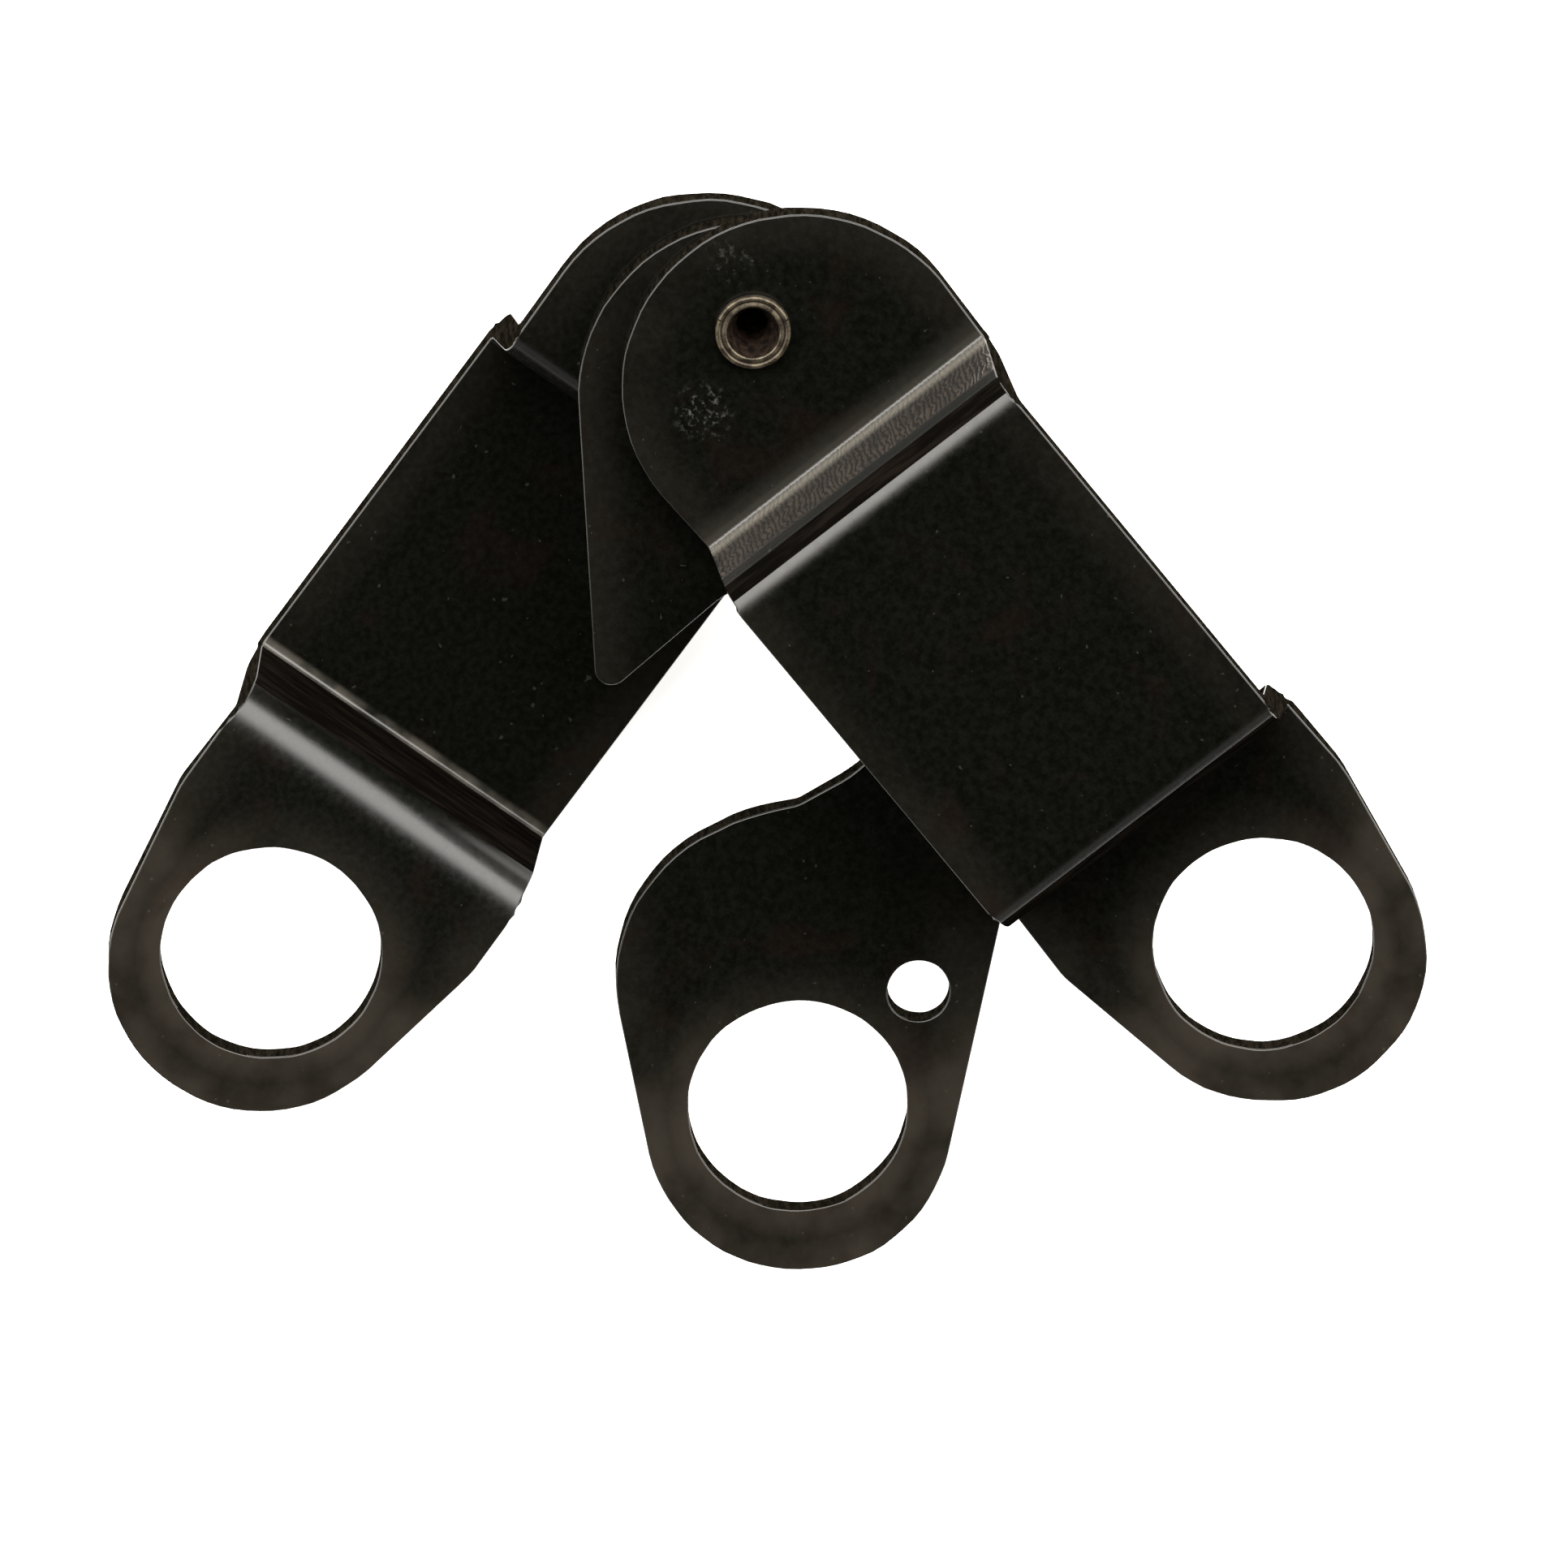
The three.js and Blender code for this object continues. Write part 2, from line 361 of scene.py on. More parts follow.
def pull_out(depth):
    """Extrudes the filled outline into a block, leaving its faces pointing out."""
    bpy.ops.mesh.extrude_region_move(TRANSFORM_OT_translate={"value": Vector(depth) * MM})
    bpy.ops.mesh.select_all(action="SELECT")
    bpy.ops.mesh.normals_make_consistent(inside=False)
    bpy.ops.object.mode_set(mode="OBJECT")


def apply_modifier(piece, kind, **settings):
    pick(piece)
    modifier = piece.modifiers.new(kind.lower(), kind)
    for name, value in settings.items():
        setattr(modifier, name, value)
    bpy.ops.object.modifier_apply(modifier=modifier.name)


def cut(piece, tool, operation):
    apply_modifier(piece, "BOOLEAN", object=tool, operation=operation, solver="EXACT")
    bpy.data.objects.remove(tool)


def drill(piece, x, y, radius):
    """Bores through the sheet from past one face to past the other."""
    deselect()
    bpy.ops.mesh.primitive_cylinder_add(
        vertices=BORE_SIDES, radius=radius * MM, depth=(SHEET + 2 * DRILL_PAST) * MM,
        location=(x * MM, y * MM, SHEET / 2 * MM))
    cut(piece, bpy.context.object, "DIFFERENCE")


def draw_in_walls(lever):
    """Narrows the steep walls a little, as bending does, more at their middle than at their ends."""
    half = (SHEET + BEND_RADIUS) / 2
    for middle in (HEAD_FLAT + JOGGLE_RUN / 2, LAST_FALL - JOGGLE_RUN / 2):
        for reach in (2 * half, half):
            pick(lever)
            bpy.ops.object.mode_set(mode="EDIT")
            bpy.ops.mesh.select_all(action="DESELECT")
            bpy.ops.object.mode_set(mode="OBJECT")
            for vertex in lever.data.vertices:
                vertex.select = abs(vertex.co.x / MM - middle) < reach
            bpy.ops.object.mode_set(mode="EDIT")
            bpy.ops.transform.resize(value=(1, 1 - WALL_DRAW / 2 / HALF_WIDTH, 1), center_override=(0, 0, 0))


def roughen_outline(piece, seed):
    """Gives the sheared outline the slight unevenness of a worn blanking tool. Flats stay flat."""
    for axis, shift in (("X", 0), ("Y", 7)):
        clouds = bpy.data.textures.new(piece.name + axis, "CLOUDS")
        clouds.noise_scale = WANDER_LENGTH * MM
        clouds.noise_depth = 2
        anchor = bpy.data.objects.new("anchor", None)
        anchor.location = ((seed + shift) * MM * WANDER_STEP, 0, 0)
        bpy.context.scene.collection.objects.link(anchor)
        bpy.context.view_layer.update()
        apply_modifier(
            piece, "DISPLACE", texture=clouds, texture_coords="OBJECT", texture_coords_object=anchor,
            direction=axis, strength=OUTLINE_WANDER * MM, mid_level=0.5)
        bpy.data.objects.remove(anchor)


def sort_faces(piece):
    """Gives the sheared sides their own finish, and paints shade on the steepest parts of the bends and on
    the wall's underside by the eye, giving them a dark, unreflecting finish.
    """
    for face in piece.data.polygons:
        normal = face.normal
        rise = abs(normal.z)
        across = abs(normal.y)
        by_eye = face.center.x > LAST_TOP * MM
        on_crest = face.center.z > CREST_FOOT * MM
        if rise < SHEARED or (rise < DRAWN_SHEARED[0] and across > DRAWN_SHEARED[1]):
            face.material_index = SHEARED_SLOT
        elif normal.x > FAR_BEND_TILT and by_eye:
            face.material_index = SHADED_SLOT
        elif normal.x < -NEAR_BEND_TILT and on_crest:
            face.material_index = SHADED_SLOT
        elif normal.x < -UNDER_WALL_TILT and by_eye:
            face.material_index = SHADED_SLOT


def finish_edges(piece, seed):
    """Rolls every sheared edge over, and keeps the flats flat where they meet the roll."""
    pick(piece)
    bpy.ops.object.mode_set(mode="EDIT")
    bpy.ops.mesh.select_all(action="SELECT")
    bpy.ops.mesh.remove_doubles(threshold=WELD)
    bpy.ops.mesh.dissolve_limited(angle_limit=math.radians(0.5))
    bpy.ops.object.mode_set(mode="OBJECT")
    apply_modifier(
        piece, "BEVEL", width=EDGE_ROLL * MM, segments=3, limit_method="ANGLE",
        angle_limit=math.radians(50), use_clamp_overlap=False, material=RUBBED_SLOT)
    sort_faces(piece)
    pick(piece)
    bpy.ops.object.shade_smooth_by_angle(angle=math.radians(35))
    roughen_outline(piece, seed)
    apply_modifier(piece, "WEIGHTED_NORMAL", mode="FACE_AREA", keep_sharp=True)


def settle(piece, lie):
    """Turns a finished lever to its heading and level, with its place in its mesh."""
    place = Matrix.Translation((0, 0, lie.level * MM)) @ Matrix.Rotation(lie.heading, 4, "Z")
    if lie.turned_over:
        place = place @ Matrix.Translation((0, 0, SHEET * MM)) @ Matrix.Rotation(math.pi, 4, "X")
    piece.data.transform(place)
    piece.matrix_world = Matrix.Identity(4)


# ---------------------------------------------------------------- the levers

def joggled_strip(name):
    """Side view of the pressing, drawn as one closed line and pulled out across the width."""
    low = SHEET + BEND_RADIUS
    high = JOGGLE_RISE - BEND_RADIUS
    start = HEAD_SETBACK - HALF_WIDTH - SPARE
    end = PIVOT_TO_EYE + EYE_ROUND_SHIFT + EYE_ROUND + SPARE
    slope = math.atan2(high - low, JOGGLE_RUN)
    slope += math.asin((OUTER_BEND + BEND_RADIUS) / math.hypot(JOGGLE_RUN, high - low))
    shift = (SOFT_BEND - OUTER_BEND) * math.tan(slope / 2)
    strip = draw_belt(name, [
        (start, 0, 0),
        (HEAD_FLAT, low, OUTER_BEND),
        (HEAD_FLAT + JOGGLE_RUN, high, -BEND_RADIUS),
        (LAST_TOP, high, -BEND_RADIUS),
        (LAST_FALL + shift, SOFT_BEND, SOFT_BEND),
        (end, 0, 0),
        (end, SHEET, 0),
        (LAST_FALL, low, -BEND_RADIUS),
        (LAST_TOP, high, OUTER_BEND),
        (HEAD_FLAT + JOGGLE_RUN, high, OUTER_BEND),
        (HEAD_FLAT, low, -BEND_RADIUS),
        (start, SHEET, 0),
    ], "y", BEND_STEP)
    half = HALF_WIDTH + SPARE
    bpy.ops.mesh.select_all(action="SELECT")
    bpy.ops.transform.translate(value=(0, -half * MM, 0))
    pull_out((0, 2 * half, 0))
    return strip


def joggled_plan():
    """The pressing's outline from above, pulled up past its full height."""
    corner = HALF_WIDTH - TAPER_ROUND
    plan = draw_belt("plan", [
        (HEAD_SETBACK, 0, HALF_WIDTH),
        (TAPER_START, -corner, TAPER_ROUND),
        (PIVOT_TO_EYE + EYE_ROUND_SHIFT, 0, EYE_ROUND),
        (TAPER_START, corner, TAPER_ROUND),
    ], "z", ARC_STEP)
    bpy.ops.transform.translate(value=(0, 0, -SPARE * MM))
    pull_out((0, 0, STRAP_TOP + 2 * SPARE))
    return plan


def joggled_lever(name, lie):
    """The front or rear lever: strip and plan in one, drilled, with rolled edges."""
    lever = joggled_strip(name)
    cut(lever, joggled_plan(), "INTERSECT")
    drill(lever, 0, 0, PIVOT_BORE_RADIUS)
    drill(lever, PIVOT_TO_EYE, 0, EYE_BORE_RADIUS)
    draw_in_walls(lever)
    finish_edges(lever, lie.seed)
    settle(lever, lie)
    return lever


def hook_lever(name, lie):
    """The flat middle lever: head, beak, throat, shoulder, eye and hip in one outline."""
    lever = draw_belt(name, [
        (HEAD_SETBACK, 0, HALF_WIDTH),
        BEAK_TIP,
        THROAT,
        KINK,
        SHOULDER,
        BELLY,
        (PIVOT_TO_EYE + HOOK_EYE_SHIFT, 0, HOOK_EYE_ROUND),
        HIP,
    ], "z", ARC_STEP)
    pull_out((0, 0, SHEET))
    drill(lever, 0, 0, PIVOT_BORE_RADIUS)
    drill(lever, PIVOT_TO_EYE, 0, EYE_BORE_RADIUS)
    drill(lever, *SMALL_BORE)
    finish_edges(lever, lie.seed)
    settle(lever, lie)
    return lever


# ---------------------------------------------------------------- the rivet

def rivet():
    """Half a section drawn as one line and spun a full turn about the axis, with hairline splits in its
    rim. A row of two numbers is a straight to that radius and height. A row of four is an arc: the
    centre's radius and height, the angle swept from +x towards +z, and its facets."""
    quarter = math.pi / 2
    lip = RIM_CREST - LIP_DROP
    section = [
        (BACK_HEAD - BACK_HEAD_EDGE, 0),
        (BACK_HEAD - BACK_HEAD_EDGE, BACK_HEAD_EDGE, quarter, 6),
        (BACK_HEAD, BACK_HEAD_HEIGHT - BACK_HEAD_ROLL),
        (BACK_HEAD - BACK_HEAD_ROLL, BACK_HEAD_HEIGHT - BACK_HEAD_ROLL, quarter, 2),
        (SHANK, BACK_HEAD_HEIGHT),
        (SHANK, RIM_SEAT),
        (RIM_RADIUS - RIM_CORNER, RIM_SEAT),
        (RIM_RADIUS - RIM_CORNER, RIM_SEAT + RIM_CORNER, quarter, 4),
        (RIM_RADIUS, RIM_CREST - OUTER_ROLL),
        (RIM_RADIUS - OUTER_ROLL, RIM_CREST - OUTER_ROLL, OUTER_ROLL_SWEEP, 8),
        (GROOVE_RADIUS, RIM_CREST - OUTER_ROLL * 0.75),
        (GROOVE_RADIUS - 0.08, RIM_CREST - OUTER_ROLL * 0.7),
        (MOUTH_LIP + INNER_ROLL, lip),
        (MOUTH_LIP + INNER_ROLL, lip - INNER_ROLL, INNER_ROLL_SWEEP, 6),
        (MOUTH_RADIUS + 0.12, RIM_SEAT + 0.1),
        (MOUTH_RADIUS - 0.1, RIM_SEAT - 0.7),
        (MOUTH_RADIUS - 0.35, RIM_SEAT - 1.1),
        (MOUTH_RADIUS - 0.5, MOUTH_FLOOR + 0.4),
        (MOUTH_RADIUS - 0.9, MOUTH_FLOOR),
        (0, MOUTH_FLOOR),
    ]
    here = Vector((0, 0, 0))
    piece = start_line("rivet", here)
    for radius, height, *sweep in section:
        there = Vector((radius, 0, height))
        if sweep:
            angle, steps = sweep
            draw_arc(there, (0, -1, 0), angle, angle / steps)
            here = there + Matrix.Rotation(-angle, 3, "Y") @ (here - there)
        else:
            draw_to(here, there)
            here = there
    bpy.ops.mesh.select_all(action="SELECT")
    bpy.ops.mesh.spin(steps=RIVET_SIDES, angle=2 * math.pi, center=(0, 0, 0), axis=(0, 0, 1))
    bpy.ops.mesh.select_all(action="SELECT")
    bpy.ops.mesh.remove_doubles(threshold=WELD)
    bpy.ops.mesh.normals_make_consistent(inside=False)
    bpy.ops.object.mode_set(mode="OBJECT")
    for turn, width in RIM_SPLITS:
        split_rim(piece, math.radians(turn), width)
    for face in piece.data.polygons:
        reach = math.hypot(face.center.x, face.center.y) / MM
        if reach < MOUTH_LIP and face.center.z / MM > BACK_HEAD_HEIGHT:
            face.material_index = MOUTH_SLOT
    bpy.ops.object.shade_smooth_by_angle(angle=math.radians(40))
    return piece


def split_rim(piece, turn, width):
    """Opens one hairline crack across the outer roll, wider at the edge than inside."""
    deselect()
    bpy.ops.mesh.primitive_cone_add(
        vertices=3, radius1=width * MM, radius2=SPLIT_TIP * MM, depth=SPLIT_LENGTH * MM,
        location=(0, 0, 0), rotation=(0, -math.pi / 2, 0))
    wedge = bpy.context.object
    wedge.data.transform(wedge.matrix_world)
    wedge.matrix_world = Matrix.Identity(4)
    middle = (RIM_RADIUS + SPLIT_PAST - SPLIT_LENGTH / 2) * MM
    stretch = Matrix.Diagonal((1, 1, SPLIT_STRETCH, 1))
    place = Matrix.Translation((middle, 0, (RIM_CREST - SPLIT_DROP) * MM))
    wedge.data.transform(Matrix.Rotation(turn, 4, "Z") @ place @ stretch)
    cut(piece, wedge, "DIFFERENCE")


# ---------------------------------------------------------------- finishes

BLACK = "#040402"
BLACK_LIGHT = "#080906"
BROWN_BLACK = "#332e28"
RUST_BLACK = "#140b08"
PALE_BLOOM = "#4c4d47"
BARE_DARK = "#0c0a08"
BARE_MIDDLE = "#1f1b16"
BARE_SMEAR = "#302a23"
# painted highlight colour: for the rear lever's crease, low on the bared wall, and the sheen before that
# wall
PAINTED_HIGHLIGHT = "#78736a"
# lighter brown: rubbed wear on the edges, and on the crest partly a painted highlight
RUBBED_AND_SHEEN = "#3a352d"
PIT = "#0e0c09"
RIVET_DARK = "#352e25"
RIVET_LIGHT = "#62594a"
RIVET_RING = "#453d32"
RIVET_MOUTH = "#0e0706"
RIVET_GROOVE = "#2b241c"
RIVET_FOOT = "#2a241c"


def lumps(size, detail=3.0, rough=0.55):
    """Noise settings for a cloudy pattern whose lumps are about size millimetres across."""
    return {"Scale": 1 / size, "Detail": detail, "Roughness": rough}


# Patterns, and the stretch of the noise over which each one fades in
MOTTLE = lumps(0.5, 4, 0.6)
MOTTLE_FADE = (0.3, 0.75)
CLOUD = lumps(9)
CLOUD_FADE = (0.2, 0.6)
GRAIN = lumps(0.4, 2, 0.5)
TINGE = {**lumps(5.5, 2, 0.5), "Distortion": 0.6}
TINGE_FADE = (0.56, 0.72)
CREASE_HIGHLIGHT_NOISE = lumps(4.5, 3, 0.6)
CREST_WEAR_AND_SHEEN = lumps(2.6, 4, 0.6)
WEAR_AND_HIGHLIGHT_FADE = (0.25, 0.6)
DRAG = lumps(0.5, 3, 0.6)
DRAG_FADE = (0.5, 0.72)
SPECK = lumps(0.55, 3, 0.65)
SPECK_FADE = (0.52, 0.68)
DUST = lumps(0.42, 0)
DUST_FADE = (0.83, 0.86)
EDGE_RUB = lumps(1.7, 4, 0.7)
EDGE_RUB_FADE = (0.36, 0.62)
SMEAR = lumps(1.4, 4)
SMEAR_FADE = (0.35, 0.65)
PIT_SPOTS = lumps(0.34, 2)
PIT_SPOTS_FADE = (0.54, 0.6)
PIT_PATCHES = lumps(3.2, 1)
PIT_PATCHES_FADE = (0.42, 0.55)
MARKS = {"Scale": 0.72, "Distortion": 11.0, "Detail": 3.0, "Detail Scale": 0.7, "Detail Roughness": 0.7}
MARKS_FADE = (0.35, 0.8)
STAIN = lumps(0.9, 4, 0.65)
STAIN_FADE = (0.36, 0.64)
RIVET_GRAIN = lumps(0.14, 2)

# Where each wear, painted glare and painted highlight lies on a lever, in millimetres: from where it is
# absent to where it is full
# painted glare of the white backdrop, partly brown wear: lighter and browner in from the outline, more so
# round the eye
EDGE_GLARE_BROWN = (4.2, 0.2)  # in from the sheared outline
EYE_GLARE_BROWN = (48.0, 62.0)  # along the lever
EYE_GLARE_BROWN_SHARE = (0.13, 0.66)
CREASE = (LAST_TOP + 0.2, JOGGLE_RISE)  # the sharp inner bend by the eye
CREASE_REACH = (0.7, 0.2)
STEEP_FOOT = (SHEET, SHEET + 0.6)
STEEP_TOP = (JOGGLE_RISE, 7.9)
CREST_LOW = (9.5, 9.95)
CREST_HIGH = (10.76, 10.6)
CREST_END = (20, 16)
SOFT_LOW = (8.9, 9.6)
SOFT_HIGH = (10.79, 10.7)
BY_EYE_START = (LAST_FALL - 3, LAST_FALL)
BY_EYE_END = (55, 51)
BY_EYE_HEIGHT = (1.6, 1.0)
WALL_START = (9.9, 10.3)
WALL_END = (13.4, 12.6)
WALL_FOOT = (SHEET - 0.1, SHEET + 0.5)
WALL_TOP = (7.75, 7.35)
# painted highlight low on the bared wall
WALL_FOOT_HIGHLIGHT = (3.9, 2.5)
PITS_LOW = (3.9, 4.5)
PITS_HIGH = (5.6, 5.0)
# painted sheen on the flat before the bared wall's foot
FOOT_SHEEN_START = (8.4, 10.5)
FOOT_SHEEN_HEIGHT = (SHEET + 0.5, SHEET)
BLOOM = (2.5, -6.5)
BLOOM_REACH = (2.6, 0.4)
FAINT_BLOOM = (-5, 2)
FAINT_BLOOM_REACH = (2.4, 0.2)
RING_PITCH = 0.22  # tool rings on the rivet


def mask(tree, strength, *edges):
    """The strength where every value is past its edge, fading smoothly to nothing before it. An edge is
    a value, where it is absent and where it is full."""
    for value, absent, full in edges:
        strength = add(
            tree, "MapRange", {"Value": value, "From Min": absent, "From Max": full, "To Max": strength},
            **SMOOTH)
    return strength


def paint(tree, colour, *layers):
    """Lays hex colours over a first one, each where its mask is."""
    for cover, over in layers:
        colour = add(tree, "Mix", {0: cover, 6: colour, 7: linear(over)}, **COLOURS)
    return colour


def finish(material, tree, colour, **sockets):
    """Ends a material in one skin of that colour, with the other sockets given by name."""
    skin = add(tree, "BsdfPrincipled", {
        "Base Color": colour, **{name.replace("_", " "): value for name, value in sockets.items()}})
    add(tree, "OutputMaterial", {"Surface": skin})
    return material


def lever_place(tree, lie):
    """Coordinates in millimetres along, across and up the lever, whichever way it lies."""
    over = lie.turned_over
    return add(tree, "Mapping", {
        "Vector": add(tree, "TexCoord", {}, "Object"), "Scale": (1 / MM, 1 / MM, 1 / MM),
        "Rotation": (math.pi, 0, lie.heading) if over else (0, 0, -lie.heading),
        "Location": (0, 0, lie.level + SHEET if over else -lie.level)})


def distance_to(tree, place, x, y):
    gap = add(tree, "VectorMath", {0: place, 1: (x, y, 0)}, operation="SUBTRACT")
    flat = add(tree, "VectorMath", {0: gap, 1: (1, 1, 0)}, operation="MULTIPLY")
    return add(tree, "VectorMath", {0: flat}, operation="LENGTH")


def depth_from_edge(tree, place, axes, hooked):
    """Roughly how far in from the sheared outline a point is, in millimetres."""
    strap_end = BELLY[0] if hooked else TAPER_START
    eye_round = HOOK_EYE_ROUND if hooked else EYE_ROUND
    eye_shift = HOOK_EYE_SHIFT if hooked else EYE_ROUND_SHIFT
    along = add(tree, "Clamp", {"Value": axes["X"], "Min": HEAD_SETBACK, "Max": strap_end})
    over = add(tree, "Math", {0: axes["X"], 1: along}, operation="SUBTRACT")
    side = add(tree, "CombineXYZ", {"X": over, "Y": axes["Y"]})
    off = add(tree, "VectorMath", {0: side}, operation="LENGTH")
    strap = add(tree, "Math", {0: HALF_WIDTH, 1: off}, operation="SUBTRACT")
    from_eye = distance_to(tree, place, PIVOT_TO_EYE + eye_shift, 0)
    eye = add(tree, "Math", {0: eye_round, 1: from_eye}, operation="SUBTRACT")
    from_bore = distance_to(tree, place, PIVOT_TO_EYE, 0)
    bore = add(tree, "Math", {0: from_bore, 1: EYE_BORE_RADIUS}, operation="SUBTRACT")
    outline = add(tree, "Math", {0: strap, 1: eye}, operation="MAXIMUM")
    return add(tree, "Math", {0: outline, 1: bore}, operation="MINIMUM")


def bend_marks_and_highlights(tree, place, axes, colour, turned_over):
    """Marks at the bends: a painted highlight along the rear lever's inner crease, streaks down the steep
    walls where the die dragged, and along the crest by the head a lighter band that is partly rubbed wear
    and partly painted highlight."""
    # painted highlight along the inner crease, broken into patches by noise
    if turned_over:
        section = add(tree, "CombineXYZ", {"X": axes["X"], "Y": axes["Z"]})
        crease = distance_to(tree, section, *CREASE)
        worn = add(tree, "TexNoise", {"Vector": place, **CREASE_HIGHLIGHT_NOISE})
        cover = mask(tree, 0.28, (crease, *CREASE_REACH), (worn, *WEAR_AND_HIGHLIGHT_FADE))
        colour = paint(tree, colour, (cover, PAINTED_HIGHLIGHT))
    drawn = add(tree, "Mapping", {"Vector": place, "Scale": (1, 0.05, 1)})
    drag = add(tree, "TexNoise", {"Vector": drawn, **DRAG})
    streaks = mask(tree, 0.12, (drag, *DRAG_FADE), (axes["Z"], *STEEP_FOOT), (axes["Z"], *STEEP_TOP))
    # crest by the head: partly rubbed wear, partly a painted highlight laid where the highlight falls
    worn = add(tree, "TexNoise", {"Vector": place, **CREST_WEAR_AND_SHEEN})
    crest = mask(
        tree, 0.35, (axes["Z"], *CREST_LOW), (axes["Z"], *CREST_HIGH), (axes["X"], *CREST_END),
        (worn, *WEAR_AND_HIGHLIGHT_FADE))
    return paint(tree, colour, (streaks, BROWN_BLACK), (crest, RUBBED_AND_SHEEN))


def bare_wall(tree, place, axes, colour):
    """The steep wall by the head, rubbed bare: brown-grey steel with rubbing marks, pits and a dark foot, a
    painted highlight low on the wall above the foot, and a faint painted sheen on the flat before the wall.
    Gives its cover, the colour with it, and the marks."""
    cover = mask(
        tree, 1.0, (axes["X"], *WALL_END), (axes["X"], *WALL_START), (axes["Z"], *WALL_FOOT),
        (axes["Z"], *WALL_TOP))
    marks = add(tree, "TexWave", {"Vector": place, **MARKS}, "Fac", bands_direction="Y")
    smear = add(tree, "TexNoise", {"Vector": place, **SMEAR})
    spots = add(tree, "TexNoise", {"Vector": place, **PIT_SPOTS})
    patches = add(tree, "TexNoise", {"Vector": place, **PIT_PATCHES})
    pits = mask(
        tree, 0.9, (axes["Z"], *PITS_LOW), (axes["Z"], *PITS_HIGH), (patches, *PIT_PATCHES_FADE),
        (spots, *PIT_SPOTS_FADE))
    # the lower wall is painted lighter: a painted highlight above its foot
    tone = paint(
        tree, linear(BARE_MIDDLE), (mask(tree, 1.0, (smear, *SMEAR_FADE)), BARE_SMEAR),
        (mask(tree, 0.9, (marks, *MARKS_FADE)), BARE_DARK),
        (mask(tree, 0.6, (axes["Z"], *WALL_FOOT_HIGHLIGHT)), PAINTED_HIGHLIGHT), (pits, PIT))
    colour = add(tree, "Mix", {0: cover, 6: colour, 7: tone}, **COLOURS)
    # painted sheen on the flat leading to the wall's foot
    foot_sheen = mask(
        tree, 0.06, (axes["X"], *FOOT_SHEEN_START), (axes["X"], *WALL_END), (axes["Z"], *FOOT_SHEEN_HEIGHT))
    return cover, paint(tree, colour, (foot_sheen, PAINTED_HIGHLIGHT)), marks


def oil_bloom(tree, place, colour):
    """Two pale, speckled patches where old oil has dried on the head."""
    patch = mask(tree, 1.0, (distance_to(tree, place, *BLOOM), *BLOOM_REACH))
    fainter = mask(tree, 0.35, (distance_to(tree, place, *FAINT_BLOOM), *FAINT_BLOOM_REACH))
    bloom = add(tree, "Math", {0: patch, 1: fainter}, operation="MAXIMUM")
    speck = add(tree, "TexNoise", {"Vector": place, **SPECK})
    strength = mask(tree, 0.8, (speck, *SPECK_FADE))
    cover = add(tree, "Math", {0: bloom, 1: strength}, operation="MULTIPLY")
    return paint(tree, colour, (cover, PALE_BLOOM))


def oxide_roughness(tree, axes, mottle, hooked):
    """Satin, a little softer on the crest by the head and on the bend by the eye."""
    rough = add(tree, "MapRange", {
        "Value": mottle, "From Min": 0.3, "From Max": 0.7, "To Min": 0.2, "To Max": 0.27})
    if hooked:
        return rough
    crest = mask(tree, 0.06, (axes["Z"], *SOFT_LOW), (axes["Z"], *SOFT_HIGH), (axes["X"], *CREST_END))
    by_eye = mask(
        tree, 0.03, (axes["X"], *BY_EYE_START), (axes["X"], *BY_EYE_END), (axes["Z"], *BY_EYE_HEIGHT))
    softer = add(tree, "Math", {0: crest, 1: by_eye}, operation="ADD")
    return add(tree, "Math", {0: rough, 1: softer}, operation="ADD")


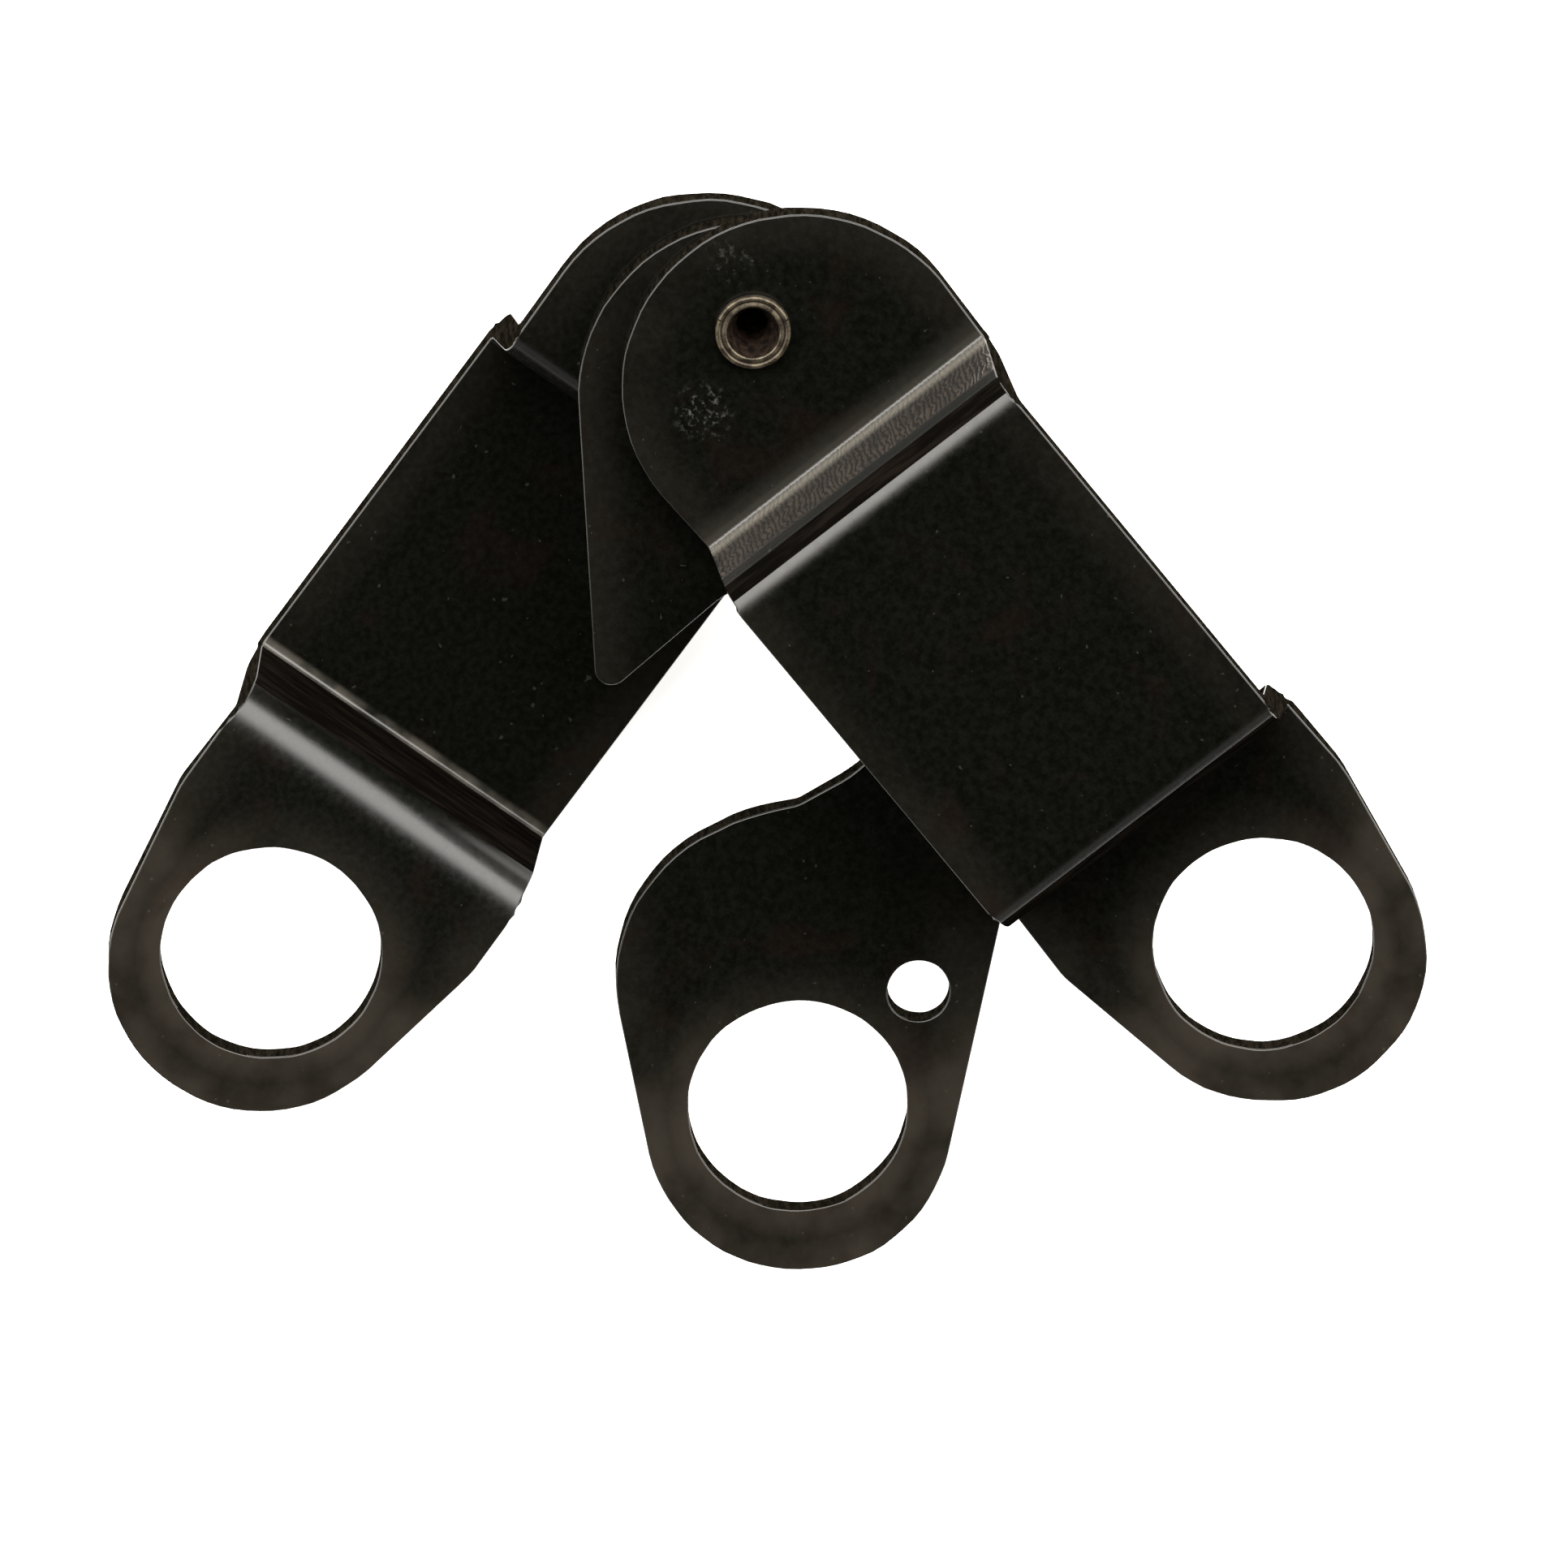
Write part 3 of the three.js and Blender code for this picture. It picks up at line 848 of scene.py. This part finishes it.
def black_oxide(name, lie, hooked=False, edge=0.0, bared=False):
    """Chemically blackened pressed steel, oiled and handled: near black and satin, with faint mottling and
    bright metal where it has rubbed. Towards the sheared edges and round the eye it is painted lighter and
    browner: mostly painted glare of the white backdrop, partly brown wear of the oxide."""
    material, tree = new_material(name)
    place = lever_place(tree, lie)
    axes = add(tree, "SeparateXYZ", {0: place}).node.outputs
    mottle = add(tree, "TexNoise", {"Vector": place, **MOTTLE})
    cloud = add(tree, "TexNoise", {"Vector": place, **CLOUD})
    grain = add(tree, "TexNoise", {"Vector": place, **GRAIN})
    tinge = add(tree, "TexNoise", {"Vector": place, **TINGE})
    dust = add(tree, "TexNoise", {"Vector": place, **DUST})

    # painted glare of the white backdrop, partly brown wear: lighter and browner in from the outline, more
    # so round the eye
    by_the_eye = add(tree, "MapRange", {
        "Value": axes["X"], "From Min": EYE_GLARE_BROWN[0], "From Max": EYE_GLARE_BROWN[1],
        "To Min": EYE_GLARE_BROWN_SHARE[0], "To Max": EYE_GLARE_BROWN_SHARE[1]}, **SMOOTH)
    depth = depth_from_edge(tree, place, axes, hooked)
    brown = mask(tree, by_the_eye, (depth, *EDGE_GLARE_BROWN), (cloud, *CLOUD_FADE))
    colour = paint(
        tree, linear(BLACK), (mask(tree, 1.0, (mottle, *MOTTLE_FADE)), BLACK_LIGHT), (brown, BROWN_BLACK),
        (mask(tree, 0.28, (tinge, *TINGE_FADE)), RUST_BLACK))
    if not hooked:
        colour = bend_marks_and_highlights(tree, place, axes, colour, lie.turned_over)
    if bared:
        cover, colour, marks = bare_wall(tree, place, axes, colour)
        colour = oil_bloom(tree, place, colour)
    colour = paint(tree, colour, (mask(tree, 0.17, (dust, *DUST_FADE)), PALE_BLOOM))

    metal = add(tree, "Math", {0: brown, 1: 0.1}, operation="MULTIPLY")
    if edge:
        rub = add(tree, "TexNoise", {"Vector": place, **EDGE_RUB})
        rubbed = mask(tree, edge, (rub, *EDGE_RUB_FADE))
        colour = paint(tree, colour, (rubbed, RUBBED_AND_SHEEN))
        bright = add(tree, "Math", {0: rubbed, 1: 0.4}, operation="MULTIPLY")
        metal = add(tree, "Math", {0: metal, 1: bright}, operation="MAXIMUM")

    rough = oxide_roughness(tree, axes, mottle, hooked)
    relief = add(tree, "Math", {0: cloud, 1: 6.0, 2: grain}, operation="MULTIPLY_ADD")
    bump = add(tree, "Bump", {"Strength": 0.5, "Distance": 0.003 * MM, "Height": relief})
    if bared:
        scored = add(tree, "Math", {0: cover, 1: marks}, operation="MULTIPLY")
        bump = add(tree, "Bump", {"Strength": 0.9, "Distance": 0.06 * MM, "Height": scored, "Normal": bump})
        rough = add(tree, "Math", {0: cover, 1: 0.08, 2: rough}, operation="MULTIPLY_ADD")
    return finish(material, tree, colour, Metallic=metal, Roughness=rough, Normal=bump)


def dull_streaks(name, lie, pattern, stretch, fade, colours, relief):
    """A dull surface in two colours, streaked one way. Gives its colour and bump too."""
    material, tree = new_material(name)
    drawn = add(tree, "Mapping", {"Vector": lever_place(tree, lie), "Scale": stretch})
    streaks = add(tree, "TexNoise", {"Vector": drawn, **pattern})
    colour = paint(tree, linear(colours[0]), (mask(tree, 1.0, (streaks, *fade)), colours[1]))
    bump = add(tree, "Bump", {"Strength": 0.5, "Distance": relief * MM, "Height": streaks})
    return material, tree, colour, bump


def shaded_bend(name, lie):
    """Painted shade on the bends and the wall by the eye: a dark, matt copy of the blackened steel that
    reflects nothing.
    """
    *surface, bump = dull_streaks(
        name, lie, lumps(0.5, 3, 0.6), (1, 0.1, 1), (0.4, 0.7), ("#060504", "#110e0b"), 0.01)
    return finish(*surface, Roughness=0.5, Specular_IOR_Level=0.0, Normal=bump)


def mouth_dark(name):
    """Inside of the rivet's mouth: rolled steel, dark brown and dull."""
    *surface, bump = dull_streaks(
        name, UPRIGHT, lumps(0.6, 4, 0.6), (1, 1, 1), (0.35, 0.65), ("#0c0806", "#241b15"), 0.02)
    return finish(*surface, Roughness=0.45, Specular_IOR_Level=0.15, Normal=bump)


def sheared_edge(name, lie):
    """The cut side of the blank under its blacking: dull, rough and almost black, scored through the
    sheet by the punch."""
    *surface, bump = dull_streaks(
        name, lie, lumps(0.3, 3, 0.7), (1, 1, 0.15), (0.35, 0.7), ("#080705", "#1a1712"), 0.03)
    return finish(*surface, Roughness=0.7, Specular_IOR_Level=0.0, Normal=bump)


def rivet_steel(name):
    """Bare rolled rivet steel, dulled by handling: grey-brown, ringed by the tool, dark in its mouth."""
    material, tree = new_material(name)
    place = lever_place(tree, UPRIGHT)
    axes = add(tree, "SeparateXYZ", {0: place}).node.outputs
    radius = distance_to(tree, place, 0, 0)
    stain = add(tree, "TexNoise", {"Vector": place, **STAIN})
    grain = add(tree, "TexNoise", {"Vector": place, **RIVET_GRAIN})
    turn = add(tree, "Math", {0: radius, 1: 2 * math.pi / RING_PITCH}, operation="MULTIPLY")
    rings = add(tree, "Math", {0: turn}, operation="SINE")
    mouth = mask(tree, 1.0, (radius, MOUTH_LIP + 0.04, MOUTH_LIP - 0.14))
    groove = mask(
        tree, 0.8, (radius, GROOVE_RADIUS - 0.14, GROOVE_RADIUS - 0.04),
        (radius, GROOVE_RADIUS + 0.1, GROOVE_RADIUS + 0.02))
    foot = mask(tree, 0.7, (axes["Z"], RIM_SEAT + 0.45, RIM_SEAT + 0.1))
    colour = paint(
        tree, linear(RIVET_DARK), (mask(tree, 1.0, (stain, *STAIN_FADE)), RIVET_LIGHT),
        (mask(tree, 0.25, (rings, 0.2, 1.0)), RIVET_RING), (mouth, RIVET_MOUTH), (groove, RIVET_GROOVE),
        (foot, RIVET_FOOT))
    bright = add(tree, "Math", {0: mouth, 1: -0.6, 2: 0.75}, operation="MULTIPLY_ADD")
    rough = add(tree, "MapRange", {
        "Value": stain, "From Min": 0.3, "From Max": 0.7, "To Min": 0.3, "To Max": 0.48})
    bump = add(tree, "Bump", {"Strength": 0.5, "Distance": 0.02 * MM, "Height": grain})
    return finish(material, tree, colour, Metallic=bright, Roughness=rough, Normal=bump)


# ---------------------------------------------------------------- assembly

make_camera()
make_world()
make_floor()
bpy.context.scene.view_settings.view_transform = "Standard"

front = joggled_lever("front_lever_pressing", FRONT)
hook = hook_lever("hook_lever_blank", HOOK)
rear = joggled_lever("rear_lever_pressing", REAR)
pin = rivet()

# A lever's finishes in the order of their slots: flats, rubbed edges, sheared sides, painted-shade bends
for lever, name, lie in ((front, "front", FRONT), (hook, "hook", HOOK), (rear, "rear", REAR)):
    hooked = lie is HOOK
    lever.data.materials.append(black_oxide("blackened_steel_" + name, lie, hooked, bared=lie is FRONT))
    lever.data.materials.append(black_oxide("rubbed_edge_" + name, lie, hooked, edge=0.6))
    lever.data.materials.append(sheared_edge("sheared_edge_" + name, lie))
    lever.data.materials.append(shaded_bend("shaded_bend_" + name, lie))
pin.data.materials.append(rivet_steel("turned_rivet_steel_tarnished"))
pin.data.materials.append(mouth_dark("dark_rivet_mouth"))

for piece, node, slot, body in (
        (front, "front_lever", "black_steel_front", "front_lever"),
        (hook, "hook_lever", "black_steel_hook", "hook_lever"),
        (rear, "rear_lever", "black_steel_rear", "rear_lever"),
        (pin, "pivot_rivet", "rivet_steel", "rear_lever")):
    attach(piece, body)
    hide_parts(node)

bpy.context.view_layer.update()
